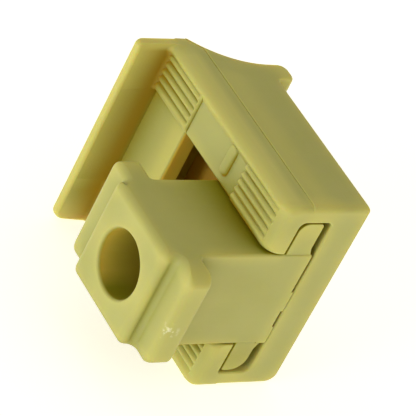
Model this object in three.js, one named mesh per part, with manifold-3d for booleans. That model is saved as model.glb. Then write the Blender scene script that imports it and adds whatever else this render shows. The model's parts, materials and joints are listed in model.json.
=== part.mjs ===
// Slide-post wire connector, in millimetres, +Z up.
//
// Two plastic mouldings and one spring:
//   body         a saddle block with a T-slot that is open at one end
//   post         a square post whose T-foot slides along the slot
//   grip_spring  a tapered square-wire coil that bites on the conductors, deep in the post's bore
//
// X runs along the slot towards its open end, Y from the post's head to the back of the body,
// and Z across the slot. Every piece is built about the middle plane of the slot (z = 0), with
// x = 0 on the open end of the body and y = 0 on its front. The group then stands the body on
// its side wall, with the origin under the middle of the whole part.

import * as THREE from 'three';
import { mergeVertices } from 'three/addons/utils/BufferGeometryUtils.js';
import Module from 'manifold-3d';

const wasm = await Module();
wasm.setup();

// ---------------------------------------------------------------- driving dimensions

const WIDTH = 27.6;             // body across the slot
const DEPTH = 12.15;            // body from its raised pads to its back
const CLOSED_END = -30.0;       // outermost point of the closed end

const FIELD_Y = 0.9;            // smooth fields of the side bars
const PAD_Y = 0.25;             // crests of the ribbed grip pads that stand up from them
const FRONT_ROUND = 1.4;        // radius of the long front edges
const BACK_ROUND = 0.9;
const END_ROUND = 0.9;
const PARTING_Y = 4.25;         // the mould closes here: the half behind it is a little smaller
const PARTING_STEP = 0.1;

const TUBE_RADIUS = 12.85;      // the round tube that the saddle sits against
const TUBE_AXIS = { x: -38.35, y: 12.6 };
const PLATE = { tipY: -4.6, outer: -29.7, innerTip: -28.4, innerRoot: -28.8, round: 0.6 };
const LIP = { tipY: 15.0, innerX: -22.9, round: 1.1 };   // stands out behind the body
const SADDLE_INSET = 0.15;      // plate and lip are this much narrower than the body, each side

const SLOT = { front: 3.45, back: 7.9, half: 11.6, closed: -24.6, round: 0.9 };
const WINDOW = { closed: -21.2, half: 7.05 };
const STRIP_Y = 1.25;           // the crossbar between window and plate lies this deep

const GRIP_PADS = [
  { from: -28.8, to: -19.8, groovesTo: -20.3 },
  { from: -9.1, to: 0, groovesTo: -0.9 },
];
const GROOVES = { count: 5, pitch: 1.04, outermost: 12.95, depth: 0.45, width: 0.6 };
const KEY = { x: -11.9, width: 1.4, from: 8.2, to: 12.6, height: 0.35 };

const STALK = { backX: -12.85, half: 6.9, round: 0.3 };   // the post's sides, square to the slot
const HEAD = { face: -12.8, round: 1.0 };                 // the face with the bore
const HEAD_WING = { reach: 3.7, front: -11.0, back: -7.8, round: 0.7, corner: 1.7 };
const FOOT = { front: 3.7, back: 6.8, half: 11.3, inset: 0.12, core: 7.45, bearing: 7.75 };
const BEARINGS = [              // two strips that bear on the back wall of the slot
  { from: -6.9, to: -4.3 },
  { from: -1.9, to: 1.1 },
];

const BORE = { x: -6.25, mouth: 4.0, throat: 3.75, depth: 16.0, rim: 0.25, seat: 0.8 };
const SPRING = { wire: 0.7, turns: 7, top: -6.2, bottom: 2.3, wide: 3.2, narrow: 1.9, steps: 20 };

// ---------------------------------------------------------------- geometry helpers

// A closed outline from corners [x, y, radius], with a true arc at each rounded corner.
function outline(corners) {
  const shape = new THREE.Shape();
  const points = corners.map(([x, y]) => new THREE.Vector2(x, y));
  corners.forEach(([, , radius = 0], i) => {
    const here = points[i];
    const before = points[(i + points.length - 1) % points.length].clone().sub(here).normalize();
    const after = points[(i + 1) % points.length].clone().sub(here).normalize();
    const halfAngle = Math.acos(before.dot(after)) / 2;
    const start = here.clone().addScaledVector(before, radius / Math.tan(halfAngle));
    if (i === 0) shape.moveTo(start.x, start.y);
    else shape.lineTo(start.x, start.y);
    if (radius > 0) {
      const end = here.clone().addScaledVector(after, radius / Math.tan(halfAngle));
      const toCentre = before.clone().add(after).normalize();
      const centre = here.clone().addScaledVector(toCentre, radius / Math.sin(halfAngle));
      const from = Math.atan2(start.y - centre.y, start.x - centre.x);
      const to = Math.atan2(end.y - centre.y, end.x - centre.x);
      shape.absarc(centre.x, centre.y, radius, from, to, before.cross(after) > 0);
    }
  });
  return shape;
}

function rectangle(x0, x1, y0, y1, radius = 0) {
  return outline([[x0, y0, radius], [x1, y0, radius], [x1, y1, radius], [x0, y1, radius]]);
}

function disc(x, y, radius) {
  return new THREE.Shape().absarc(x, y, radius, 0, 2 * Math.PI);
}

// Where a shape's own x, y and depth point, for an extrusion along each axis.
const AXES = {
  x: [[0, 1, 0], [0, 0, 1], [1, 0, 0]],   // the shape is drawn in (y, z)
  y: [[0, 0, 1], [1, 0, 0], [0, 1, 0]],   // the shape is drawn in (z, x)
  z: [[1, 0, 0], [0, 1, 0], [0, 0, 1]],   // the shape is drawn in (x, y)
};

// A solid from a shape pushed along an axis; bevel rounds both ends inside the given length.
function extrude(shape, axis, from, to, bevel = 0, curveSegments = 6) {
  const geometry = new THREE.ExtrudeGeometry(shape, {
    depth: to - from - 2 * bevel,
    curveSegments,
    bevelEnabled: bevel > 0,
    bevelSize: bevel,
    bevelThickness: bevel,
    bevelOffset: -bevel,
    bevelSegments: 4,
  });
  geometry.translate(0, 0, from + bevel);
  const [right, up, out] = AXES[axis].map((direction) => new THREE.Vector3(...direction));
  geometry.applyMatrix4(new THREE.Matrix4().makeBasis(right, up, out));
  return solidFrom(geometry);
}

function box(x0, x1, y0, y1, z0, z1) {
  return extrude(rectangle(x0, x1, y0, y1), 'z', z0, z1);
}

// A turned solid about a line along Y, from points [radius, y].
function turned(points, x, segments = 40) {
  const profile = points.map(([radius, y]) => new THREE.Vector2(radius, y));
  const geometry = new THREE.LatheGeometry(profile, segments);
  geometry.translate(x, 0, 0);
  return solidFrom(geometry);
}

function solidFrom(geometry) {
  const bare = geometry.clone();
  bare.deleteAttribute('normal');
  bare.deleteAttribute('uv');
  const merged = mergeVertices(bare, 1e-5);
  return new wasm.Manifold(new wasm.Mesh({
    numProp: 3,
    vertProperties: new Float32Array(merged.attributes.position.array),
    triVerts: new Uint32Array(merged.index.array),
  }));
}

function geometryFrom(solid) {
  const mesh = solid.getMesh();
  const geometry = new THREE.BufferGeometry();
  geometry.setAttribute('position', new THREE.BufferAttribute(mesh.vertProperties, 3));
  geometry.setIndex(new THREE.BufferAttribute(mesh.triVerts, 1));
  geometry.computeVertexNormals();
  return geometry;
}

const joined = (solids) => solids.reduce((whole, piece) => whole.add(piece));
const cut = (solid, tools) => tools.reduce((rest, tool) => rest.subtract(tool), solid);

// The same tool on both sides of the middle plane.
const bothSides = (make) => [make(1), make(-1)];

// ---------------------------------------------------------------- body

// A block from a front at the given depth, rounded along its edges. The margin shrinks it at
// both sides, for the half behind the parting line.
function block({ front, margin = 0, y0 = front, y1 = DEPTH, x0 = CLOSED_END, x1 = 0 }) {
  const half = WIDTH / 2 - margin;
  const lengthways = extrude(outline([
    [front, -half, FRONT_ROUND],
    [DEPTH, -half, BACK_ROUND],
    [DEPTH, half, BACK_ROUND],
    [front, half, FRONT_ROUND],
  ]), 'x', x0, x1);
  const sideways = extrude(outline([
    [CLOSED_END, front],
    [0, front, FRONT_ROUND],
    [0, DEPTH, BACK_ROUND],
    [CLOSED_END, DEPTH],
  ]), 'z', -half, half);
  const upright = extrude(outline([
    [-half, CLOSED_END],
    [half, CLOSED_END],
    [half, 0, END_ROUND],
    [-half, 0, END_ROUND],
  ]), 'y', y0, y1);
  return lengthways.intersect(sideways).intersect(upright);
}

// Thumb plate, closed end and back lip, one strip across the body.
function saddle() {
  const lipOuterX = TUBE_AXIS.x + TUBE_RADIUS - 0.15;
  return extrude(outline([
    [PLATE.outer, PLATE.tipY, PLATE.round],
    [PLATE.innerTip, PLATE.tipY, PLATE.round],
    [PLATE.innerRoot, STRIP_Y + 0.5],
    [LIP.innerX, DEPTH / 2],
    [LIP.innerX, LIP.tipY, LIP.round],
    [lipOuterX, LIP.tipY, LIP.round],
    [lipOuterX, DEPTH],
    [CLOSED_END, DEPTH],
    [CLOSED_END, 1.0],
    [PLATE.outer, 0.6],
  ]), 'z', -WIDTH / 2 + SADDLE_INSET, WIDTH / 2 - SADDLE_INSET, 0.3);
}

// The grooves of one pad on one side bar: V-shaped channels along X.
function grooves(pad, side) {
  const channels = [];
  for (let i = 0; i < GROOVES.count; i += 1) {
    const z = side * (GROOVES.outermost - GROOVES.pitch * i);
    const channel = outline([
      [PAD_Y - 1, z - GROOVES.width / 2],
      [PAD_Y, z - GROOVES.width / 2],
      [PAD_Y + GROOVES.depth, z],
      [PAD_Y, z + GROOVES.width / 2],
      [PAD_Y - 1, z + GROOVES.width / 2],
    ]);
    channels.push(extrude(channel, 'x', pad.from, pad.groovesTo));
  }
  return channels;
}

function bodySolid() {
  const pads = GRIP_PADS.map((pad) => block({ front: PAD_Y, y1: PARTING_Y, x0: pad.from, x1: pad.to }));
  const whole = joined([
    block({ front: FIELD_Y, y1: PARTING_Y }),
    block({ front: FIELD_Y, y0: PARTING_Y, margin: PARTING_STEP }),
    ...pads,
    saddle(),
  ]);
  const tube = extrude(disc(TUBE_AXIS.x, TUBE_AXIS.y, TUBE_RADIUS), 'z', -WIDTH, WIDTH, 0, 40);
  const slot = extrude(
    rectangle(SLOT.front, SLOT.back, -SLOT.half, SLOT.half, SLOT.round), 'x', SLOT.closed, 1);
  const window = box(WINDOW.closed, 1, -1, SLOT.front + 0.5, -WINDOW.half, WINDOW.half);
  const strip = box(PLATE.innerRoot, WINDOW.closed + 1, -1, STRIP_Y, -WINDOW.half, WINDOW.half);
  const channels = GRIP_PADS.flatMap((pad) => bothSides((side) => grooves(pad, side))).flat();
  const keys = bothSides((side) => extrude(
    rectangle(...[side * KEY.from, side * KEY.to].sort((a, b) => a - b),
      KEY.x - KEY.width / 2, KEY.x + KEY.width / 2),
    'y', FIELD_Y - KEY.height, FIELD_Y + 0.5));
  return joined([cut(whole, [tube, slot, window, strip, ...channels]), ...keys]);
}

// ---------------------------------------------------------------- post

function postSolid() {
  const head = extrude(
    rectangle(-STALK.half, STALK.half, STALK.backX, 0, HEAD.round + 0.2),
    'y', HEAD.face, HEAD_WING.back, HEAD.round);
  const stalk = extrude(
    rectangle(-STALK.half, STALK.half, STALK.backX, 0, STALK.round),
    'y', HEAD_WING.front + HEAD_WING.round, FOOT.core);
  const wings = extrude(
    rectangle(-STALK.half, STALK.half, STALK.backX - HEAD_WING.reach, HEAD_WING.reach,
      HEAD_WING.corner),
    'y', HEAD_WING.front, HEAD_WING.back, HEAD_WING.round);
  const foot = extrude(outline([
    [FOOT.front, -FOOT.half, 0.3],
    [FOOT.back, -FOOT.half, 1.8],
    [FOOT.back, -STALK.half - 0.8],
    [FOOT.core, -STALK.half + 0.6],
    [FOOT.core, STALK.half - 0.6],
    [FOOT.back, STALK.half + 0.8],
    [FOOT.back, FOOT.half, 0.5],
    [FOOT.front, FOOT.half, 1.3],
  ]), 'x', STALK.backX + FOOT.inset, -FOOT.inset);
  const bearings = BEARINGS.map(({ from, to }) => box(
    STALK.backX, 0, FOOT.core - 0.5, FOOT.bearing, from, to));
  const bore = turned([
    [0, HEAD.face - 1],
    [BORE.mouth + BORE.rim, HEAD.face - 1],
    [BORE.mouth + BORE.rim, HEAD.face],
    [BORE.mouth + BORE.rim * 0.3, HEAD.face + BORE.rim * 0.3],
    [BORE.mouth, HEAD.face + BORE.rim],
    [BORE.throat, HEAD.face + BORE.depth - BORE.seat],
    [BORE.throat - BORE.seat, HEAD.face + BORE.depth],
    [0, HEAD.face + BORE.depth],
  ], BORE.x);
  return joined([head, stalk, wings, foot, ...bearings]).subtract(bore);
}

// ---------------------------------------------------------------- grip spring

// The wire's path: a coil about the bore that narrows towards the bottom.
class TaperedCoil extends THREE.Curve {
  getPoint(t, target = new THREE.Vector3()) {
    const angle = 2 * Math.PI * SPRING.turns * t;
    const radius = THREE.MathUtils.lerp(SPRING.wide, SPRING.narrow, t);
    return target.set(
      BORE.x + radius * Math.cos(angle),
      THREE.MathUtils.lerp(SPRING.top, SPRING.bottom, t),
      radius * Math.sin(angle));
  }
}

function springGeometry() {
  return new THREE.ExtrudeGeometry(disc(0, 0, SPRING.wire / 2), {
    extrudePath: new TaperedCoil(),
    steps: SPRING.turns * SPRING.steps,
    curveSegments: 4,
    bevelEnabled: false,
  });
}

// ---------------------------------------------------------------- assembly

const plastic = (color) => new THREE.MeshStandardMaterial({ color, roughness: 0.5, metalness: 0 });
const steel = new THREE.MeshStandardMaterial({ color: 0x9a9c98, roughness: 0.35, metalness: 1 });

function piece(name, geometry, material) {
  const mesh = new THREE.Mesh(geometry, material);
  mesh.name = name;
  return mesh;
}

const group = new THREE.Group();
group.add(
  piece('body', geometryFrom(bodySolid()), plastic(0xb4b06a)),
  piece('post', geometryFrom(postSolid()), plastic(0xb9b66c)),
  piece('grip_spring', geometryFrom(solidFrom(springGeometry())), steel),
);

// The body lies on its side wall, and the origin is under the middle of the part's box.
group.position.set(
  -(CLOSED_END + HEAD_WING.reach) / 2,
  -(HEAD.face + LIP.tipY) / 2,
  WIDTH / 2);

export default group;
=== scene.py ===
# %% [markdown]
# # A sliding clamp connector in moulded plastic
# The object is two mouldings. A saddle body has an open slot, and a square post slides in that
# slot on a T-shaped foot. Everything here is drawn in millimetres with the slot's open end at
# x = 0, the body's smooth front near y = 0 and the middle of the slot at z = 0, and is only
# turned into metres when a piece is finished.

import json
import math

import bmesh
import bpy
from mathutils import Matrix, Vector

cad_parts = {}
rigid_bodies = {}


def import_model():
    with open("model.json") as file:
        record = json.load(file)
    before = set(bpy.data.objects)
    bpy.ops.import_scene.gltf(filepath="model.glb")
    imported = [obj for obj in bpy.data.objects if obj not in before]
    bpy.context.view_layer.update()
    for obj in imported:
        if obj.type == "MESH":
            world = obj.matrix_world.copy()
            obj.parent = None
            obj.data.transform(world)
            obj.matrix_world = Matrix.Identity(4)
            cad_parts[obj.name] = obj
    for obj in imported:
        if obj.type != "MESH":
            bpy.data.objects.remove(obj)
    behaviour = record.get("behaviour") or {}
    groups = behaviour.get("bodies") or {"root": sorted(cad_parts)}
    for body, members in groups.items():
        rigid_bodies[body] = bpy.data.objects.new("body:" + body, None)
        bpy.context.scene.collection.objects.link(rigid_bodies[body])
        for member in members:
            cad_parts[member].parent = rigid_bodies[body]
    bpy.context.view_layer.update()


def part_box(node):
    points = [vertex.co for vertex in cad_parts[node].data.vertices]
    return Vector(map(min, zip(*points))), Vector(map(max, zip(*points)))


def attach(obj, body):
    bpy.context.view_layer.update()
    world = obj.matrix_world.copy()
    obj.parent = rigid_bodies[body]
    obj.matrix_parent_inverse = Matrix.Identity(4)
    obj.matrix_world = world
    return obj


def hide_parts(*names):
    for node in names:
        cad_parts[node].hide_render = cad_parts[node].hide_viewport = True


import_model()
body_low, body_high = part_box("body")

# %% Where the drawing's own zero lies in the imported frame
MM = 0.001
LIP_TIP = 15.0
zero = Vector((body_high.x, body_high.y - LIP_TIP * MM, (body_low.z + body_high.z) / 2))
print("drawing zero in metres:", tuple(round(v, 5) for v in zero))


# %% [markdown]
# Moulded plastic has no sharp edges, and where its fillets meet is what makes it look moulded.
# A bevel on a finished solid gives every corner the same look, so the main shapes are wrapped
# instead: a flat grid is bent round a row of outlines, one outline per station along the piece,
# and each fillet is simply where the outlines shrink. Its two ends are then closed.

# %% Bending a grid round a row of outlines
SAME_POINT = 1e-5


def wrapped(rings):
    """A closed solid whose skin passes through each ring of points in turn."""
    spans, steps = len(rings) - 1, len(rings[0])
    bm = bmesh.new()
    bmesh.ops.create_grid(bm, x_segments=spans, y_segments=steps, size=0.5)
    for vert in bm.verts:
        ring = rings[round((vert.co.x + 0.5) * spans)]
        vert.co = ring[round((vert.co.y + 0.5) * steps) % steps]
    bmesh.ops.remove_doubles(bm, verts=bm.verts, dist=SAME_POINT)
    open_edges = [edge for edge in bm.edges if edge.is_boundary]
    bmesh.ops.holes_fill(bm, edges=open_edges, sides=0)
    bmesh.ops.dissolve_degenerate(bm, dist=SAME_POINT, edges=bm.edges)
    bmesh.ops.recalc_face_normals(bm, faces=bm.faces)
    return bm


# %% Fillets at the end of a piece
def end_inset(distance, radius):
    """How far a fillet of this radius pulls the outline in, at this distance from the end."""
    if distance >= radius:
        return 0.0
    return radius - math.sqrt(radius ** 2 - (radius - distance) ** 2)


def fillet_steps(radius, count=6):
    """Distances from an end that follow a fillet evenly round its arc."""
    return [radius * (1 - math.cos(math.pi / 2 * k / count)) for k in range(count + 1)]


# %% An outline with rounded corners, each edge moved in by its own amount
ARC_STEPS = 6
LEAST_RADIUS = 0.02


def outline(corners, insets):
    """Points round anticlockwise corners (u, v, radius); concave corners are rounded too."""
    places = [Vector(corner[:2]) for corner in corners]
    count = len(corners)
    along = [(places[(i + 1) % count] - places[i]).normalized() for i in range(count)]
    inward = [Vector((-step.y, step.x)) for step in along]
    points = []
    for i in range(count):
        turn = along[i - 1].cross(along[i])
        a, b, na, nb = insets[i - 1], insets[i], inward[i - 1], inward[i]
        corner = places[i] + Vector(((a * nb.y - b * na.y) / turn, (b * na.x - a * nb.x) / turn))
        radius = corners[i][2]
        if radius == 0:
            points.append(corner)
            continue
        side = math.copysign(1, turn)
        radius = max(radius - side * (a + b) / 2, LEAST_RADIUS)
        angle = along[i - 1].angle(along[i])
        start = corner - along[i - 1] * radius * math.tan(angle / 2)
        centre = start + na * radius * side
        for k in range(ARC_STEPS + 1):
            spoke = Matrix.Rotation(side * angle * k / ARC_STEPS, 2) @ (start - centre)
            points.append(centre + spoke)
    return points


# %% Pushing such an outline along an axis
PLACED = {
    "x": lambda u, v, w: Vector((w, u, v)),
    "z": lambda u, v, w: Vector((u, v, w)),
}


def pushed(corners, axis, low, high):
    """A solid from corners (u, v, corner radius, end fillet of the edge that starts there).

    An end fillet is a radius, or (its reach along the axis, its depth inwards).
    """
    fillets = [corner[3] if isinstance(corner[3], tuple) else (corner[3], corner[3])
               for corner in corners]
    steps = sorted({round(d, 4) for reach, _ in fillets for d in fillet_steps(reach)})
    stations = [(low + d, d) for d in steps] + [(high - d, d) for d in reversed(steps)]
    rings = []
    for place, distance in stations:
        insets = [end_inset(distance, reach) * depth / reach for reach, depth in fillets]
        rings.append([PLACED[axis](p.x, p.y, place) for p in outline(corners, insets)])
    return wrapped(rings)


# %% Joining and cutting solids
LOOSE_POINT = 1e-4


def as_object(bm, name):
    """The solid as an object in the scene."""
    mesh = bpy.data.meshes.new(name)
    bm.to_mesh(mesh)
    bm.free()
    obj = bpy.data.objects.new(name, mesh)
    bpy.context.scene.collection.objects.link(obj)
    return obj


def combined(base, tool, operation):
    """The solid left after the tool is joined to the base or cut from it."""
    base_object, tool_object = as_object(base, "base"), as_object(tool, "tool")
    modifier = base_object.modifiers.new("combine", "BOOLEAN")
    modifier.operation = operation
    modifier.object = tool_object
    modifier.solver = "EXACT"
    result = bmesh.new()
    result.from_object(base_object, bpy.context.evaluated_depsgraph_get())
    for obj in (base_object, tool_object):
        bpy.data.meshes.remove(obj.data)
    bmesh.ops.remove_doubles(result, verts=result.verts, dist=LOOSE_POINT)
    bmesh.ops.dissolve_degenerate(result, dist=LOOSE_POINT, edges=result.edges)
    return result


# %% Finishing a piece: metres, smooth shading, flat faces kept flat
SHARP_ANGLE = math.radians(38)


def open_edge_count(mesh):
    """How many edges don't have a face on both sides."""
    count = {}
    for polygon in mesh.polygons:
        for key in polygon.edge_keys:
            count[key] = count.get(key, 0) + 1
    return sum(1 for faces in count.values() if faces != 2)


def finished(bm, name):
    """The solid as an object in metres, with its facts printed."""
    bmesh.ops.scale(bm, vec=(MM, MM, MM), verts=bm.verts)
    bmesh.ops.translate(bm, vec=zero, verts=bm.verts)
    obj = as_object(bm, name)
    obj.data.shade_smooth()
    obj.data.set_sharp_from_angle(angle=SHARP_ANGLE)
    flatten = obj.modifiers.new("flat faces stay flat", "WEIGHTED_NORMAL")
    flatten.keep_sharp = True
    columns = list(zip(*(vert.co for vert in obj.data.vertices)))
    size = [round((max(column) - min(column)) / MM, 2) for column in columns]
    print(f"{name}: {len(obj.data.polygons)} faces, "
          f"open edges {open_edge_count(obj.data)}, size {size} mm")
    return obj


# %% [markdown]
# The body is a block that carries a thumb plate at its closed end, a concave saddle behind it,
# a lip that stands out at the back, and two side bars round an open window. All of it can be
# read as one outline that changes along x, so the whole body is one wrapped grid. First come
# its sizes.

# %% Sizes of the body
# A pair keyed 1 and -1 has one size for the upper side and one for the lower side.
HALF = 13.8                             # half the height, in front of the parting line
BACK_HALF = {1: 13.85, -1: 13.7}        # the same behind it
BACK = 12.45                            # y of the flat back
PARTING = 4.25                          # y of the seam line
CLOSED_END, CLOSED_ROUND = -30.0, 0.3
LEDGE = 1.0                             # y of the front outside the thumb plate
TUBE_X, TUBE_Y, TUBE_RADIUS = -38.35, 12.6, 12.85
LIP_INNER = -22.9
LIP_ROUND = 0.9
PLATE_TIP = -4.6
PLATE_OUTER, PLATE_INNER = -29.7, -28.75
PLATE_ROUND = 0.5
FIELD = 0.7                             # y of the smooth front between the pads
PAD = 0.25                              # y of the ribs' crests
STRIP = 1.25                            # y of the floor beside the plate
WINDOW_END, WINDOW_ROUND = -21.2, 0.4
WINDOW_HALF = 7.05
SLOT_LEVEL = 5.0                        # y of the window's floor, inside the slot
STEEP = 0.004                           # a wall is this far off square, so no ring is doubled


# %% [markdown]
# The front of each side bar is smooth in the middle and has two ribbed grip pads. A rib is a
# low rounded ridge that stands on the smooth level, and the grooves between ribs are closed at
# one end by a small rim. All this relief is one function: the depth of the front at any x, z.

# %% Ribs across a grip pad
RIB_PITCH = 1.04
RIBS_ACROSS = 4.5
OUTER_GROOVE = {1: 12.65, -1: 12.35}
SHOULDER_TOP = 13.0
GROOVE_DEPTH = 0.42
RIB_SHAPE = 1.8
INNER_RIB_TOP = {side: groove - RIBS_ACROSS * RIB_PITCH for side, groove in OUTER_GROOVE.items()}
SHOULDER_DEPTH = {1: 2.05, -1: 0.5}


def rib_phase(z, side):
    """-1 to 1 across one rib, 0 on its crest."""
    return 2 * (((OUTER_GROOVE[side] - z) / RIB_PITCH) % 1) - 1


def shoulder_depth(z, side):
    """The long outer edge of a bar, rounded over more in depth than in height."""
    out = max(z - SHOULDER_TOP, 0) / (HALF - SHOULDER_TOP)
    return PAD + SHOULDER_DEPTH[side] * (1 - math.sqrt(max(1 - out ** 2, 0)))


def pad_depth(z, groove, side):
    """Depth of a pad's front across z, with grooves this deep."""
    if z >= OUTER_GROOVE[side]:
        foot = max(SHOULDER_TOP - z, 0) / (SHOULDER_TOP - OUTER_GROOVE[side])
        return shoulder_depth(z, side) + groove * foot ** RIB_SHAPE
    if z <= INNER_RIB_TOP[side]:
        fall = min((INNER_RIB_TOP[side] - z) / (INNER_RIB_TOP[side] - WINDOW_HALF), 1)
        return PAD + (STRIP - PAD) * (1 - math.sqrt(1 - fall ** 2))
    return PAD + groove * abs(rib_phase(z, side)) ** RIB_SHAPE


# %% Depth of the smooth front between the pads
FRONT_ROUND = 1.7
RIM_ROUND = 0.5
FIELD_EDGE = 12.0


def eased(value):
    """0 to 1 with a soft start and end."""
    value = min(max(value, 0), 1)
    return value * value * (3 - 2 * value)


def field_depth(z, side):
    """Depth of the smooth front across z, from the window's rim to the outer edge."""
    if z < WINDOW_HALF + RIM_ROUND:
        return FIELD + end_inset(max(z - WINDOW_HALF, 0), RIM_ROUND)
    share = eased((z - FIELD_EDGE) / (SHOULDER_TOP - FIELD_EDGE))
    return FIELD + (shoulder_depth(z, side) - FIELD) * share


# %% Where the pads begin and end
PADS = [(-28.7, -20.4, -20.65), (-9.15, 2.0, -1.15)]     # start, end, end of the grooves
RIB_NOSE, NOSE_CURVE = 0.4, 0.25
RIM_FALL = 0.6
GROOVE_RUNOUT = 0.8


def rise(distance, length):
    """0 to 1 along a quarter circle."""
    return math.sqrt(1 - (1 - min(max(distance / length, 0), 1)) ** 2)


def pad_share(x, z, side):
    """How much of the pad's height stands at x, from 0 on the smooth front to 1."""
    on_a_rib = INNER_RIB_TOP[side] < z < OUTER_GROOVE[side]
    nose = NOSE_CURVE * abs(rib_phase(z, side)) ** 2 if on_a_rib else 0.0
    return max(min(rise(x - start - nose, RIB_NOSE), rise(end - x, RIM_FALL))
               for start, end, _ in PADS)


def groove_depth(x):
    """Depth of the grooves at x: full along a pad, running out in front of its rim."""
    for start, end, groove_end in PADS:
        if start - 1 < x < end + 1:
            return GROOVE_DEPTH * rise(groove_end - x, GROOVE_RUNOUT)
    return 0.0


# %% The low key boss and the root of the thumb plate
KEY_X, KEY_LOW, KEY_HIGH, KEY_ROUND, KEY_HEIGHT = -12.05, 9.1, 11.7, 0.78, 0.4
KEY_SHAPE = 3
ROOT_ROUND = 0.8


def key_height(x, z):
    """Height of the boss, flatter on top than a quarter circle."""
    past = max(KEY_LOW - z, z - KEY_HIGH, 0)
    distance = math.hypot(x - KEY_X, past) / KEY_ROUND
    return KEY_HEIGHT * math.sqrt(max(1 - distance ** KEY_SHAPE, 0))


def root_rise(x):
    """The fillet at the foot of the plate lifts the floor towards the plate."""
    return end_inset(max(x - PLATE_INNER, 0), ROOT_ROUND)


# %% Depth of the front anywhere
CORNER_ROUND = {1: 0.5, -1: 1.2}


def front_depth(x, z, side=1):
    """The front's y at any place on one side of the body."""
    if x < PLATE_OUTER:
        return LEDGE + end_inset(x - CLOSED_END, CLOSED_ROUND)
    if x < PLATE_INNER:
        tip = end_inset(min(x - PLATE_OUTER, PLATE_INNER - x), PLATE_ROUND)
        return PLATE_TIP + tip + end_inset(HALF - z, CORNER_ROUND[side])
    if z < WINDOW_HALF:
        if x > WINDOW_END:
            return SLOT_LEVEL
        return STRIP + end_inset(WINDOW_END - x, WINDOW_ROUND)
    end = end_inset(-x, FRONT_ROUND)
    if z >= SHOULDER_TOP:
        return shoulder_depth(z, side) - root_rise(x) + end
    smooth = field_depth(z, side) - key_height(x, z)
    relief = smooth + pad_share(x, z, side) * (pad_depth(z, groove_depth(x), side) - smooth)
    return min(relief, smooth - root_rise(x)) + end


probes = ((-24, 12.13), (-24, 11.61), (-15, 10), (-11.9, 10))
print("front depth on a rib, in a groove, between the pads and on the boss:",
      [round(front_depth(x, z), 2) for x, z in probes])


# %% Depth of the back anywhere
LIP_OUTER = TUBE_X + TUBE_RADIUS
BACK_ROUND = {1: 0.6, -1: 1.6}
BACK_END_ROUND = 0.35
SADDLE_ROUND = 0.4
LIP_FOOT = 0.5


def back_depth(x, side):
    """The back's y and the radius of its side edges."""
    if x < LIP_OUTER:
        return TUBE_Y - math.sqrt(max(TUBE_RADIUS ** 2 - (x - TUBE_X) ** 2, 0)), SADDLE_ROUND
    if x < LIP_INNER:
        return LIP_TIP - end_inset(min(x - LIP_OUTER, LIP_INNER - x), LIP_ROUND), BACK_ROUND[side]
    flat = BACK + end_inset(x - LIP_INNER, LIP_FOOT) - end_inset(-x, BACK_END_ROUND)
    return flat, BACK_ROUND[side]


# %% One ring of the body
END_ROUND = 0.8
SEAM_DEPTH, SEAM_WIDTH = 0.07, 0.1
PLATE_DRAFT = {1: 0.15, -1: 0.55}
PLATE_LEAN, LEAN_RUN = 0.35, 1.0
PLATE_EDGE, PLATE_EDGE_DEPTH = 1.6, 0.3
BAR_STEPS = 60
BACK_EDGE_STEPS = 5
QUARTER_TURN = [k * math.pi / 16 for k in range(9)]


def heights():
    """Heights across one side of the front, closer together where the front curves."""
    curved = [HALF - FRONT_ROUND * (1 - math.sin(a)) for a in QUARTER_TURN]
    curved += [HALF - (HALF - SHOULDER_TOP) * (1 - math.sin(a)) for a in QUARTER_TURN]
    curved += [WINDOW_HALF + RIM_ROUND * (1 - math.cos(a)) for a in QUARTER_TURN]
    flat = [WINDOW_HALF + (SHOULDER_TOP - WINDOW_HALF) * k / BAR_STEPS
            for k in range(BAR_STEPS)]
    return sorted({round(z, 4) for z in curved + flat}, reverse=True)


FRONT_HEIGHTS = heights()


def half_ring(x, side):
    """Points from the middle of the back round one side to the middle of the front."""
    back, radius = back_depth(x, side)
    inset = end_inset(-x, END_ROUND) + end_inset(x - CLOSED_END, CLOSED_ROUND)
    radius = max(radius - inset, LEAST_RADIUS)
    half, back_half = HALF - inset, BACK_HALF[side] - inset
    points = [(back, 0.0)]
    for k in range(BACK_EDGE_STEPS + 1):
        angle = math.pi / 2 * k / BACK_EDGE_STEPS
        points.append((back - radius * (1 - math.cos(angle)),
                       back_half - radius * (1 - math.sin(angle))))
    parting = min(PARTING, back - radius - 0.1)
    seam = half - SEAM_DEPTH
    points += [(parting + SEAM_WIDTH, back_half), (parting + SEAM_WIDTH / 4, seam),
               (parting - SEAM_WIDTH / 4, seam), (parting - SEAM_WIDTH, half)]
    for z in FRONT_HEIGHTS:
        pulled = inset * max(z - (HALF - FRONT_ROUND), 0) / FRONT_ROUND
        points.append((front_depth(x, z, side), z - pulled))
    floor = front_depth(x, 0.0, side)
    points += [(floor, WINDOW_HALF), (floor, 0.0)]
    return points


def body_ring(x):
    """The body's whole outline at x; the plate also leans, tapers and bows."""
    ring = [(y, z, 1) for y, z in half_ring(x, 1)]
    ring += [(y, -z, -1) for y, z in reversed(half_ring(x, -1)[1:-1])]
    plate_share = max(1 - max(x - PLATE_INNER, 0) / LEAN_RUN, 0)
    shaped = []
    for y, z, side in ring:
        beyond = max(1 - y, 0) / (1 - PLATE_TIP) * plate_share
        z *= 1 - PLATE_DRAFT[side] * beyond / HALF
        lean = 0
        if x > PLATE_OUTER + PLATE_ROUND:
            edge = end_inset(max(HALF - abs(z), 0), PLATE_EDGE) * PLATE_EDGE_DEPTH
            lean = PLATE_LEAN * beyond - edge * min(beyond * 4, 1) * (x < PLATE_INNER)
        shaped.append(Vector((x + lean, y, z)))
    return shaped


# %% Stations along the body, closer together where it changes
SADDLE_STEPS = 28
NOSE_STEP, WIDEST_STEP = 0.05, 1.5


def around(place, *distances):
    """Places at these distances from a place."""
    return [place + distance for distance in distances]


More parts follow.
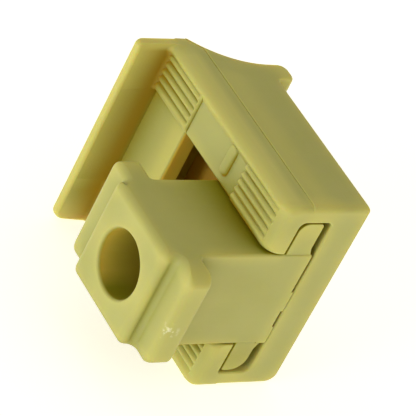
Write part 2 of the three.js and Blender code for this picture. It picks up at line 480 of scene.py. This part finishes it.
def body_stations():
    """Every x at which the body has a ring, with near doubles left out."""
    places = around(CLOSED_END, *fillet_steps(CLOSED_ROUND))
    places += around(PLATE_OUTER, -STEEP, STEEP, *fillet_steps(PLATE_ROUND))
    places += [PLATE_INNER - d for d in fillet_steps(PLATE_ROUND)]
    places += around(PLATE_INNER, -STEEP, STEEP, *fillet_steps(ROOT_ROUND))
    first = math.acos((CLOSED_END - TUBE_X) / TUBE_RADIUS)
    places += [TUBE_X + TUBE_RADIUS * math.cos(first * k / SADDLE_STEPS)
               for k in range(SADDLE_STEPS + 1)]
    places += around(LIP_OUTER, -STEEP, STEEP, *fillet_steps(LIP_ROUND))
    places += [LIP_INNER - d for d in fillet_steps(LIP_ROUND)]
    places += around(LIP_INNER, -STEEP, STEEP, *fillet_steps(LIP_FOOT))
    places += [WINDOW_END - d for d in fillet_steps(WINDOW_ROUND)]
    places += around(WINDOW_END, -STEEP, STEEP)
    for start, end, groove_end in PADS:
        places += around(start, *[NOSE_STEP * k for k in range(-1, 16)])
        places += [groove_end - GROOVE_RUNOUT + GROOVE_RUNOUT * math.sin(a)
                   for a in QUARTER_TURN]
        places += [end - d for d in fillet_steps(RIM_FALL, 8)]
    places += [KEY_X + KEY_ROUND * math.sin(math.pi * k / 16) for k in range(-8, 9)]
    places += [-d for d in fillet_steps(FRONT_ROUND, 9) + fillet_steps(END_ROUND)]
    places += [CLOSED_END + WIDEST_STEP * k for k in range(20)]
    kept = []
    for place in sorted(p for p in places if CLOSED_END <= p <= 0):
        if not kept or place - kept[-1] > STEEP / 2:
            kept.append(place)
    return kept


# %% Wrap the body and cut its slot
SLOT = [(3.45, -11.6, 0.3), (7.9, -11.6, 1.0), (7.9, 11.6, 0.7), (3.45, 11.6, 0.8)]
SLOT_END = -24.6
SLOT_RIM = 0.25

stations = body_stations()
body_solid = wrapped([body_ring(x) for x in stations])
print("body:", len(stations), "stations of", len(body_ring(-15.0)), "points")

slot_places = [(SLOT_END, 0.0), (-SLOT_RIM - 0.1, 0.0)]
slot_places += [(-d, end_inset(d, SLOT_RIM)) for d in reversed(fillet_steps(SLOT_RIM))]
slot_places += [(0.5, SLOT_RIM)]
slot_rings = [[Vector((x, p.x, p.y)) for p in outline(SLOT, [-flare] * 4)]
              for x, flare in slot_places]
body_solid = combined(body_solid, wrapped(slot_rings), "DIFFERENCE")
body = finished(body_solid, "saddle_body")


# %% [markdown]
# The post is a square stalk with a wide head. Seen along z its head, wings and stalk are one
# outline with soft inner corners, so it is pushed along z, and each edge of the outline has a
# fillet of its own at both ends: wide on the wing tips, small along the stalk.

# %% Head, wings and stalk
STALK = -12.85
STALK_HALF = 6.9
FACE = -12.8
WING = 3.7
WING_FRONT, WING_BACK = -11.15, -7.85
CORE = 7.45

POST = [
    (STALK, FACE, 1.0, 1.0),
    (0, FACE, 1.0, 1.1),
    (0, WING_FRONT, 0.7, (1.6, 1.0)),
    (WING, WING_FRONT, 0.9, (1.6, 3.2)),
    (WING, WING_BACK, 0.9, (1.3, 0.9)),
    (0, WING_BACK, 0.35, 0.35),
    (0, CORE, 0, 0.3),
    (STALK, CORE, 0, 0.35),
    (STALK, WING_BACK, 0.35, 0.7),
    (STALK - WING, WING_BACK, 0.9, 1.4),
    (STALK - WING, WING_FRONT, 0.9, 0.9),
    (STALK, WING_FRONT, 0.9, 1.1),
]
post_solid = pushed(POST, "z", -STALK_HALF, STALK_HALF)

# %% The T-shaped foot and its two bearing strips
FOOT_EDGE = 0.12
FOOT = [
    (3.72, -11.25, 0.25),
    (6.65, -11.25, 1.9),
    (6.75, -7.9, 0.5),
    (CORE, -6.4, 0.1),
    (CORE, 6.4, 0.1),
    (6.95, 7.7, 0.5),
    (6.95, 11.4, 0.5),
    (3.75, 11.4, 1.3),
]
BEARING, BEARING_EDGE = 7.8, 0.1
BEARING_STRIPS = ((-6.9, -4.3), (-1.9, 1.1))

foot = pushed([(*corner, FOOT_EDGE) for corner in FOOT], "x", STALK + FOOT_EDGE, -FOOT_EDGE)
post_solid = combined(post_solid, foot, "UNION")
for low, high in BEARING_STRIPS:
    strip = pushed([(CORE - 1, low, 0, BEARING_EDGE), (BEARING, low, BEARING_EDGE, BEARING_EDGE),
                    (BEARING, high, BEARING_EDGE, BEARING_EDGE),
                    (CORE - 1, high, 0, BEARING_EDGE)], "x", STALK, 0.0)
    post_solid = combined(post_solid, strip, "UNION")

# %% The bore, spun round its axis
BORE_X = -6.25
BORE_BOTTOM = 3.2
BORE = [(0, FACE - 1), (5.0, FACE - 1), (4.4, FACE - 0.02), (4.2, FACE + 0.05),
        (4.04, FACE + 0.19), (3.95, FACE + 0.45), (3.75, 2.4), (2.95, BORE_BOTTOM),
        (0, BORE_BOTTOM)]
BORE_STEPS = 96


def spun(profile, x, steps):
    """A solid from (radius, y) points turned about a line along y."""
    bm = bmesh.new()
    line = [bm.verts.new((x + radius, y, 0)) for radius, y in profile]
    edges = [bm.edges.new(pair) for pair in zip(line, line[1:])]
    bmesh.ops.spin(bm, geom=line + edges, cent=(x, 0, 0), axis=(0, 1, 0), dvec=(0, 0, 0),
                   angle=2 * math.pi, steps=steps, use_merge=True, use_duplicate=False)
    bmesh.ops.remove_doubles(bm, verts=bm.verts, dist=LOOSE_POINT)
    bmesh.ops.recalc_face_normals(bm, faces=bm.faces)
    return bm


post_solid = combined(post_solid, spun(BORE, BORE_X, BORE_STEPS), "DIFFERENCE")
post = finished(post_solid, "sliding_post")


# %% [markdown]
# Deep in the bore sits a tapered coil that grips the cable end. A square of wire is spun many
# times round the bore's axis while it sinks, and the coil is then narrowed towards the bottom.

# %% The grip coil
WIRE = 0.34
COIL_TOP, COIL_BOTTOM = -6.2, 2.3
COIL_WIDE, COIL_NARROW = 3.2, 1.9
TURNS, TURN_STEPS = 7, 40


def grip_coil():
    """A coil of square wire with its corners taken off, narrower towards its bottom."""
    bm = bmesh.new()
    corner = WIRE * 0.75
    shape = [(WIRE, corner), (corner, WIRE), (-corner, WIRE), (-WIRE, corner),
             (-WIRE, -corner), (-corner, -WIRE), (corner, -WIRE), (WIRE, -corner)]
    start = [bm.verts.new((BORE_X + COIL_WIDE + u, COIL_TOP + v, 0)) for u, v in shape]
    face = bm.faces.new(start)
    steps = TURNS * TURN_STEPS
    sink = (COIL_BOTTOM - COIL_TOP) / steps
    bmesh.ops.spin(bm, geom=[face], cent=(BORE_X, 0, 0), axis=(0, 1, 0), dvec=(0, sink, 0),
                   angle=2 * math.pi * TURNS, steps=steps, use_merge=False,
                   use_duplicate=False)
    for vert in bm.verts:
        share = (vert.co.y - COIL_TOP) / (COIL_BOTTOM - COIL_TOP)
        shift = (COIL_NARROW - COIL_WIDE) * share
        away = Vector((vert.co.x - BORE_X, 0, vert.co.z))
        vert.co += away.normalized() * shift
    bmesh.ops.recalc_face_normals(bm, faces=bm.faces)
    return bm


coil = finished(grip_coil(), "grip_coil")


# %% [markdown]
# The plastic is a satin, slightly translucent olive yellow. Light that has been inside it, or that
# has bounced between two of its walls, comes out deeper and browner, and its thin edges look
# paler. That light and shade is painted into the colour: slightly mottled on open faces, painted
# shade in enclosed corners, painted amber shade in the deepest ones and a painted glow at thin
# edges. Which one shows is asked of the shape itself with two ambient-occlusion nodes, one that
# looks outwards and one that looks inwards. A few places get painted light or shade of their own
# on top of that.

# %% Small helpers for materials
def new_material(name):
    """A material with its shader."""
    material = bpy.data.materials.new(name)
    material.use_nodes = True
    return material, material.node_tree.nodes["Principled BSDF"]


def add_node(tree, kind, inputs, **settings):
    """A new node; each input is given a value, or is linked if the value is a socket."""
    made = tree.nodes.new(kind)
    for name, value in settings.items():
        setattr(made, name, value)
    for name, value in inputs.items():
        if isinstance(value, bpy.types.NodeSocket):
            tree.links.new(value, made.inputs[name])
        else:
            made.inputs[name].default_value = value
    return made


def noise(tree, place, scale, detail=2.0, stretch=(1, 1, 1)):
    """Noise over the piece's own coordinates; scale is in features per metre."""
    mapping = add_node(tree, "ShaderNodeMapping", {"Vector": place, "Scale": stretch})
    made = add_node(tree, "ShaderNodeTexNoise",
                    {"Vector": mapping.outputs["Vector"], "Scale": scale, "Detail": detail})
    return made.outputs["Fac"]


def spread(tree, value, low, high, to_low=0.0, to_high=1.0):
    """The value's range from low to high stretched to another range."""
    made = add_node(tree, "ShaderNodeMapRange", {"Value": value, "From Min": low, "From Max": high,
                                                 "To Min": to_low, "To Max": to_high})
    return made.outputs["Result"]


def product(tree, first, second):
    made = add_node(tree, "ShaderNodeMath", {0: first, 1: second}, operation="MULTIPLY")
    return made.outputs["Value"]


def axes(tree, place):
    """The X, Y and Z of a place."""
    return add_node(tree, "ShaderNodeSeparateXYZ", {0: place}).outputs


def patch(tree, place, share, bands):
    """The share inside a box of bands (axis, low, high, soft), fading to 0 over soft outside."""
    for axis, low, high, soft in bands:
        middle = getattr(zero, axis.lower())
        value = axes(tree, place)[axis]
        start = spread(tree, value, middle + (low - soft) * MM, middle + low * MM)
        end = spread(tree, value, middle + high * MM, middle + (high + soft) * MM, 1.0, 0.0)
        share = product(tree, share, product(tree, start, end))
    return share


def mixed(tree, share, first, second):
    """One colour turning into another as share goes from 0 to 1."""
    made = tree.nodes.new("ShaderNodeMix")
    made.data_type = "RGBA"
    sockets = (made.inputs[0], made.inputs[6], made.inputs[7])
    for socket, value in zip(sockets, (share, first, second)):
        if isinstance(value, bpy.types.NodeSocket):
            tree.links.new(value, socket)
        else:
            socket.default_value = value
    return made.outputs[2]


# %% The moulded plastic
OPEN_COLOR = (0.475, 0.462, 0.136, 1)
MOTTLED_COLOR = (0.440, 0.428, 0.120, 1)
SHADED_COLOR = (0.270, 0.250, 0.006, 1)
PAINTED_AMBER_SHADE_COLOR = (0.520, 0.285, 0.008, 1)
PAINTED_THIN_EDGE_GLOW_COLOR = (0.660, 0.605, 0.145, 1)
WALLS_NEAR, WALLS_THIN = 0.011, 0.0028      # how far the two nodes look, in metres


def moulded_plastic(name, flow, paler_end, shade, deepest):
    """Olive plastic with mould marks along flow.

    Shade is the closeness of other walls at which the painted shade starts and is darkest; beyond
    deepest the painted shade turns amber, and thin edges get a painted glow. Paler_end scales that
    closeness down at the open end.
    """
    material, shader = new_material(name)
    tree = material.node_tree
    place = tree.nodes.new("ShaderNodeTexCoord").outputs["Object"]

    outward = add_node(tree, "ShaderNodeAmbientOcclusion", {"Distance": WALLS_NEAR}, samples=16)
    inward = add_node(tree, "ShaderNodeAmbientOcclusion", {"Distance": WALLS_THIN},
                      samples=16, inside=True)
    off_floor = spread(tree, axes(tree, place)["Z"], 0.0, 5 * MM, 0.1, 1.0)
    off_end = spread(tree, axes(tree, place)["X"], zero.x - 4 * MM, zero.x, 1.0, paler_end)
    closeness = product(tree, spread(tree, outward.outputs["AO"], 1.0, 0.0),
                        product(tree, off_floor, off_end))
    shaded = spread(tree, closeness, *shade)
    thin = spread(tree, inward.outputs["AO"], 0.85, 0.35)
    glowing = product(tree, spread(tree, thin, 0.0, 1.0, 0.0, 0.75),
                      spread(tree, shaded, 0.0, 0.6, 1.0, 0.0))
    deep = spread(tree, closeness, deepest, deepest + 0.4)

    mottling = spread(tree, noise(tree, place, 170, 3), 0.35, 0.65, 0.0, 0.55)
    color = mixed(tree, mottling, OPEN_COLOR, MOTTLED_COLOR)
    # Painted shade in enclosed corners, painted amber shade in the deepest ones and a painted glow
    # at thin edges.
    color = mixed(tree, shaded, color, SHADED_COLOR)
    color = mixed(tree, deep, color, PAINTED_AMBER_SHADE_COLOR)
    color = mixed(tree, glowing, color, PAINTED_THIN_EDGE_GLOW_COLOR)
    tree.links.new(color, shader.inputs["Base Color"])

    grain = noise(tree, place, 2600, 2)
    marks = noise(tree, place, 2300, 2, flow)
    uneven = add_node(tree, "ShaderNodeMath", {0: mottling, 1: marks}, operation="ADD")
    tree.links.new(spread(tree, uneven.outputs["Value"], 0.3, 1.2, 0.42, 0.56),
                   shader.inputs["Roughness"])
    marked = add_node(tree, "ShaderNodeBump",
                      {"Height": marks, "Strength": 0.10, "Distance": 0.00012})
    grained = add_node(tree, "ShaderNodeBump", {"Height": grain, "Strength": 0.07,
                                                "Distance": 0.0001,
                                                "Normal": marked.outputs["Normal"]})
    tree.links.new(grained.outputs["Normal"], shader.inputs["Normal"])

    shader.inputs["Specular IOR Level"].default_value = 0.32
    shader.inputs["Subsurface Weight"].default_value = 0.6
    shader.inputs["Subsurface Radius"].default_value = (1.0, 0.6, 0.12)
    shader.inputs["Subsurface Scale"].default_value = 0.0016
    return material, place, color


# %% The body's plastic, with painted shade making the thumb plate browner towards its root
PAINTED_ROOT_SHADE_COLOR = (0.400, 0.240, 0.006, 1)
PAINTED_WALL_GLOW_COLOR = (0.76, 0.57, 0.07, 1)
PAINTED_WINDOW_LIGHT_COLOR = (0.85, 0.45, 0.06, 1)
PAINTED_EDGE_HIGHLIGHT_COLOR = (0.640, 0.600, 0.170, 1)

body_plastic, place, plastic_color = moulded_plastic(
    "olive plastic, body", (0.06, 1, 1), 0.45, (0.22, 0.62), 0.45)
tree = body_plastic.node_tree
# Painted shade: the plate's inner face darkens to brown towards its root.
painted_shade_down_the_plate = spread(tree, axes(tree, place)["Y"], zero.y + (PLATE_TIP + 0.7) * MM,
                        zero.y - 0.3 * MM, 0.0, 0.85)
browner = patch(tree, place, painted_shade_down_the_plate, [
    ("X", PLATE_OUTER + 0.5, PLATE_INNER + 0.4, 0.4), ("Y", PLATE_TIP, 0.6, 0.6),
    ("Z", -13.2, 12.7, 0.6)])
plastic_color = mixed(tree, browner, plastic_color, PAINTED_ROOT_SHADE_COLOR)

# The window's end wall is thin, so light comes through it, and that light is painted on it as a
# gold glow. What shows through the window is lit only by light that has been through the plastic,
# so a painted reddish light is laid over it.
painted_wall_glow = patch(tree, place, 1.0, [
    ("X", WINDOW_END - 0.05, WINDOW_END + 0.1, 0.1), ("Y", STRIP + 0.1, SLOT_LEVEL - 0.8, 0.5),
    ("Z", -WINDOW_HALF, WINDOW_HALF, 0.5)])
plastic_color = mixed(tree, painted_wall_glow, plastic_color, PAINTED_WALL_GLOW_COLOR)
# Painted reddish light on the slot's floor and walls seen through the window.
painted_window_light = patch(tree, place, 0.55, [
    ("X", SLOT_END + 3.0, -9.0, 3.0), ("Y", SLOT_LEVEL + 0.3, 8.1, 0.6), ("Z", -12.0, 12.0, 0.3)])
plastic_color = mixed(tree, painted_window_light, plastic_color, PAINTED_WINDOW_LIGHT_COLOR)

# A painted highlight on the long edge at the front of the upper bar, which scatters more light
# than the flat beside it.
edge = patch(tree, place, 0.75, [
    ("X", PLATE_INNER + 2.0, -1.5, 2.0), ("Y", 0.9, 2.4, 1.2), ("Z", 13.3, 14.0, 0.5)])
tree.links.new(mixed(tree, edge, plastic_color, PAINTED_EDGE_HIGHLIGHT_COLOR),
               tree.nodes["Principled BSDF"].inputs["Base Color"])
body.data.materials.append(body_plastic)

# %% [markdown]
# The post is the same plastic, marked along its length by the mould it was drawn out of. The
# edge of one wing has been rubbed until it shows small whitish scuffs. They are a noise that
# is let through only round one place on that edge.

# %% The post's plastic, with scuffs on one wing and a painted glow in the bore near its mouth
SCUFF_PLACE = zero + MM * Vector((3.5, -10.5, -1.1))
SCUFF_REACH = 0.0014
SCUFF_COLOR = (0.80, 0.78, 0.52, 1)
PAINTED_BORE_GLOW_COLOR = (0.84, 0.62, 0.09, 1)

post_plastic, place, plastic_color = moulded_plastic(
    "olive plastic, post", (1, 0.05, 1), 1.0, (0.08, 0.48), 0.75)
tree = post_plastic.node_tree
away = add_node(tree, "ShaderNodeVectorMath", {0: place, 1: SCUFF_PLACE}, operation="DISTANCE")
near = spread(tree, away.outputs["Value"], SCUFF_REACH, SCUFF_REACH * 0.3)
rubbed = spread(tree, noise(tree, place, 1500, 4), 0.52, 0.66)
scuffed = product(tree, near, rubbed)

# Painted glow: the bore's wall is a paler gold towards its mouth.
from_the_mouth = spread(tree, axes(tree, place)["Y"], zero.y + (FACE + 1.0) * MM,
                        zero.y + (FACE + 6.0) * MM, 0.65, 0.0)
painted_bore_glow = patch(tree, place, from_the_mouth, [
    ("X", BORE_X - 4.2, BORE_X - 2.4, 2.0), ("Y", FACE + 0.5, 0.0, 0.3), ("Z", -4.2, 4.2, 0.3)])
plastic_color = mixed(tree, painted_bore_glow, plastic_color, PAINTED_BORE_GLOW_COLOR)
tree.links.new(mixed(tree, scuffed, plastic_color, SCUFF_COLOR),
               tree.nodes["Principled BSDF"].inputs["Base Color"])
post.data.materials.append(post_plastic)

# %% [markdown]
# The coil is bright drawn wire. The die leaves fine streaks along it, so a stretched noise
# varies its colour, its roughness and, very slightly, its surface.

# %% The coil's steel, with the marks of the die it was drawn through
STEEL_DARK, STEEL_PALE = (0.42, 0.41, 0.39, 1), (0.60, 0.59, 0.56, 1)

steel, steel_shader = new_material("spring steel")
tree = steel.node_tree
place = tree.nodes.new("ShaderNodeTexCoord").outputs["Object"]
drawn = noise(tree, place, 3000, 3, (1, 8, 1))
tree.links.new(mixed(tree, drawn, STEEL_DARK, STEEL_PALE), steel_shader.inputs["Base Color"])
tree.links.new(spread(tree, drawn, 0.3, 0.7, 0.25, 0.45), steel_shader.inputs["Roughness"])
bumped = add_node(tree, "ShaderNodeBump",
                  {"Height": drawn, "Strength": 0.2, "Distance": 0.00003})
tree.links.new(bumped.outputs["Normal"], steel_shader.inputs["Normal"])
steel_shader.inputs["Metallic"].default_value = 1.0
coil.data.materials.append(steel)

# %% What each piece stands for and moves with
for piece, node, rides_on, slot in (
        (body, "body", "body", "body_plastic"),
        (post, "post", "post", "post_plastic"),
        (coil, "grip_spring", "post", "spring_steel")):
    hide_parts(node)
    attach(piece, rides_on)

# %% [markdown]
# A small object on a pale glowing table has light from below as well as above, so its lower
# edges are bright and its shadow is nearly gone. The floor glows a little for that, the room
# gives even light, and one soft lamp in front makes the front faces the brightest.

# %% Floor and room
FLOOR_SIZE, FLOOR_GAP = 2.0, 0.0001
FLOOR_GLOW, GLOW_COLOR = 0.62, (1.0, 0.98, 0.92, 1)
ROOM_LIGHT, ROOM_COLOR = 0.58, (1.0, 0.955, 0.80, 1)

floor_mesh = bmesh.new()
bmesh.ops.create_grid(floor_mesh, x_segments=1, y_segments=1, size=FLOOR_SIZE)
floor = as_object(floor_mesh, "floor")
floor.location.z = -FLOOR_GAP
floor_paint, floor_shader = new_material("pale floor")
floor_shader.inputs["Base Color"].default_value = (0.9, 0.9, 0.9, 1)
floor_shader.inputs["Roughness"].default_value = 0.9
floor_shader.inputs["Specular IOR Level"].default_value = 0.0
floor_shader.inputs["Emission Color"].default_value = GLOW_COLOR
floor_shader.inputs["Emission Strength"].default_value = FLOOR_GLOW
floor.data.materials.append(floor_paint)

world = bpy.data.worlds.new("studio")
world.use_nodes = True
world.node_tree.nodes["Background"].inputs["Color"].default_value = ROOM_COLOR
world.node_tree.nodes["Background"].inputs["Strength"].default_value = ROOM_LIGHT
bpy.context.scene.world = world
bpy.context.scene.view_settings.view_transform = "Standard"

# %% [markdown]
# The camera looks down on the head from in front and from the slot's open end, through a long
# lens, so that edges which are parallel on the object stay nearly parallel.

# %% Camera
AIM = zero + MM * Vector((-3.88, -6.87, 10.46))
FORWARD = Vector((-0.5988, 0.5976, -0.5333))
UP = Vector((-0.6666, -0.0029, 0.7454))
DISTANCE = 0.3043
LENS, SENSOR = 240.3, 36

camera_data = bpy.data.cameras.new("camera")
camera_data.lens = LENS
camera_data.sensor_width = SENSOR
camera_data.clip_start = 0.01
camera = bpy.data.objects.new("camera", camera_data)
forward = FORWARD.normalized()
right = forward.cross(UP).normalized()
upward = right.cross(forward)
rotation = Matrix((right, upward, -forward)).transposed()
camera.matrix_world = Matrix.Translation(AIM - forward * DISTANCE) @ rotation.to_4x4()
bpy.context.scene.collection.objects.link(camera)
bpy.context.scene.camera = camera

# %% One soft lamp in front
LAMP_TOWARDS = Vector((0.22, -1.0, 0.14)).normalized()
LAMP_DISTANCE, LAMP_SIZE, LAMP_POWER = 0.6, 0.25, 1.1
LAMP_COLOR = (0.92, 1.0, 1.22)

lamp_data = bpy.data.lights.new("key light", "AREA")
lamp_data.shape = "DISK"
lamp_data.size = LAMP_SIZE
lamp_data.energy = LAMP_POWER
lamp_data.color = LAMP_COLOR
lamp = bpy.data.objects.new("key light", lamp_data)
lamp.location = AIM + LAMP_TOWARDS * LAMP_DISTANCE
lamp.rotation_euler = (-LAMP_TOWARDS).to_track_quat("-Z", "Y").to_euler()
bpy.context.scene.collection.objects.link(lamp)
